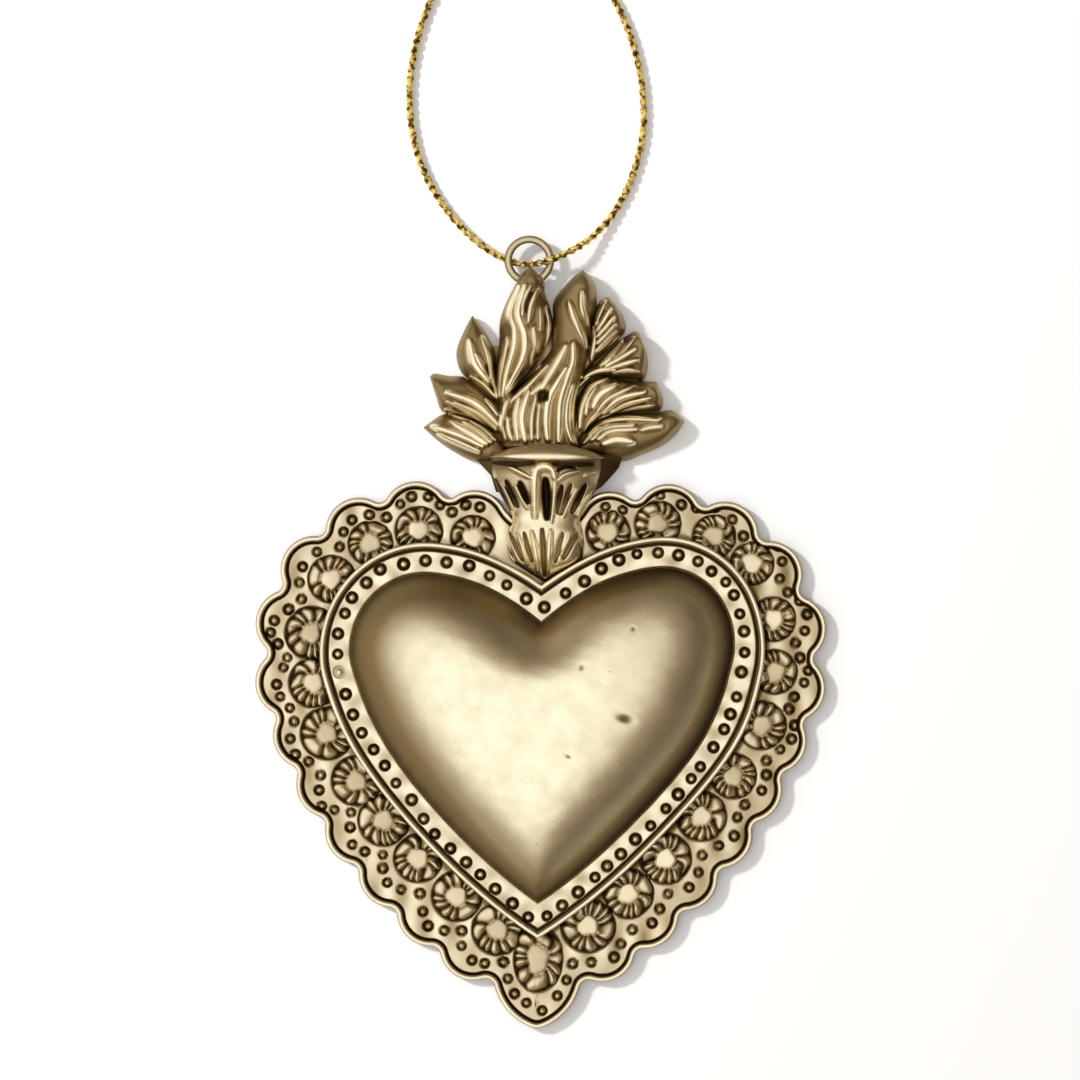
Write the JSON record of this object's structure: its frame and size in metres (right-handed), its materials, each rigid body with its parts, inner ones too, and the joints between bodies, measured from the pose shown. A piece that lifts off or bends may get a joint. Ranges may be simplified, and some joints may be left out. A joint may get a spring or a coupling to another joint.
{
  "type": "tin heart ornament",
  "caption": "Puffed heart ornament in antique gold tin with a beaded band, scalloped rosette border, urn and flame, and a cord loop to hang it by.",
  "frame": {"origin": "on the back face, on the heart's centre line, level with the centres of its lobes", "axes": "+Z out of the front, +Y towards the flame and the hanging ring, +X to the viewer's right; the ornament lies on its back"},
  "size_m": [0.076, 0.1553, 0.0104],
  "materials": {
    "gold_sheet": "antique gold lacquer on tinplate, brown in the recesses",
    "gold_dome": "satin antique gold lacquer, brushed",
    "gold_flame": "darker antique gold lacquer on tinplate",
    "gold_wire": "satin antique gold lacquer on wire",
    "back_sheet": "plain gold lacquer on tinplate",
    "solder": "dull soft solder",
    "gold_cord": "twisted metallic gold thread"
  },
  "bodies": {
    "ornament": {"back_plate": "back_sheet", "scalloped_border": "gold_sheet", "edge_wire": "gold_wire", "beaded_band": "gold_sheet", "band_wire": "gold_wire", "heart_dome": "gold_dome", "flame": "gold_flame", "urn": "gold_flame", "urn_lip": "gold_flame", "hanging_ring": "gold_wire", "ring_solder": "solder"},
    "cord_loop": {"cord": "gold_cord", "cord_knot": "gold_cord"}
  },
  "joints": [
    {"name": "cord_swing", "type": "hinge", "parent": "ornament", "child": "cord_loop", "pos_m": [-0.0021, 0.0504, 0.0019], "axis": [0, 0, 1], "range_deg": [-20, 20]}
  ]
}
